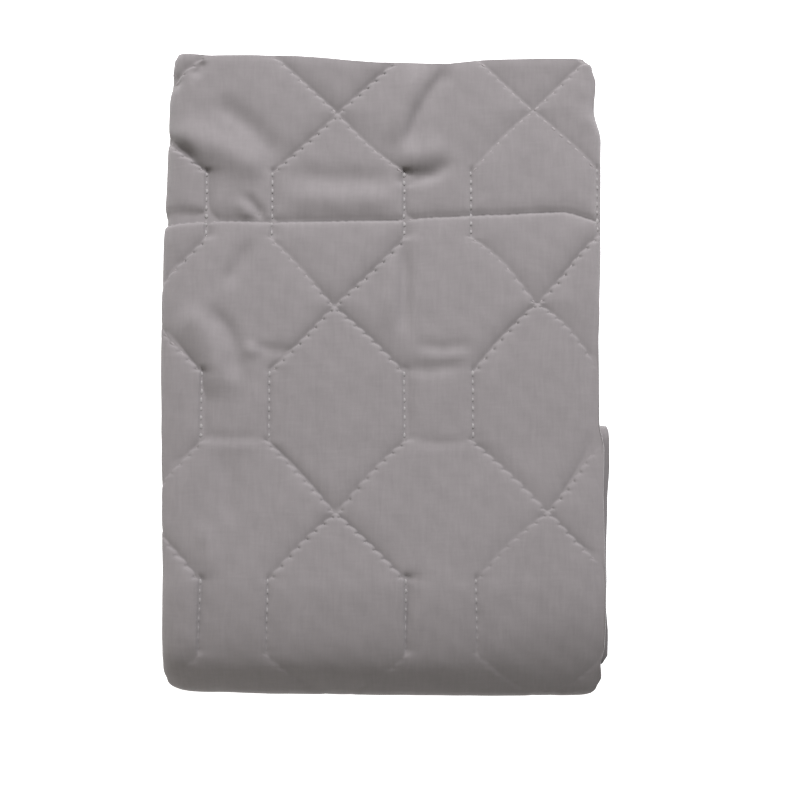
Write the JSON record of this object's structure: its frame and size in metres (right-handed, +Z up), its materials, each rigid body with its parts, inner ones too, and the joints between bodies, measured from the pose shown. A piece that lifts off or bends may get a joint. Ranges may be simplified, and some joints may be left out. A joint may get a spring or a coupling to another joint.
{
  "type": "folded pillowcase",
  "caption": "Quilted pillowcase in warm grey, folded in half lengthwise with its closed end turned under twice and its deep hemmed mouth lying loose.",
  "frame": {"origin": "on the surface that the bundle rests on, under the middle of its outline", "axes": "+Z up from that surface; +Y along the bundle, from the rolled edge towards the hemmed mouth; +X across it, from the lengthwise crease towards the side seams"},
  "size_m": [0.2644, 0.3807, 0.0408],
  "materials": {
    "quilted_cloth": "matte plain-weave cloth in warm grey, quilted in a chain of six-sided cells with lighter thread"
  },
  "bodies": {
    "root": {"front_panel": "quilted_cloth", "back_panel": "quilted_cloth"}
  },
  "joints": []
}
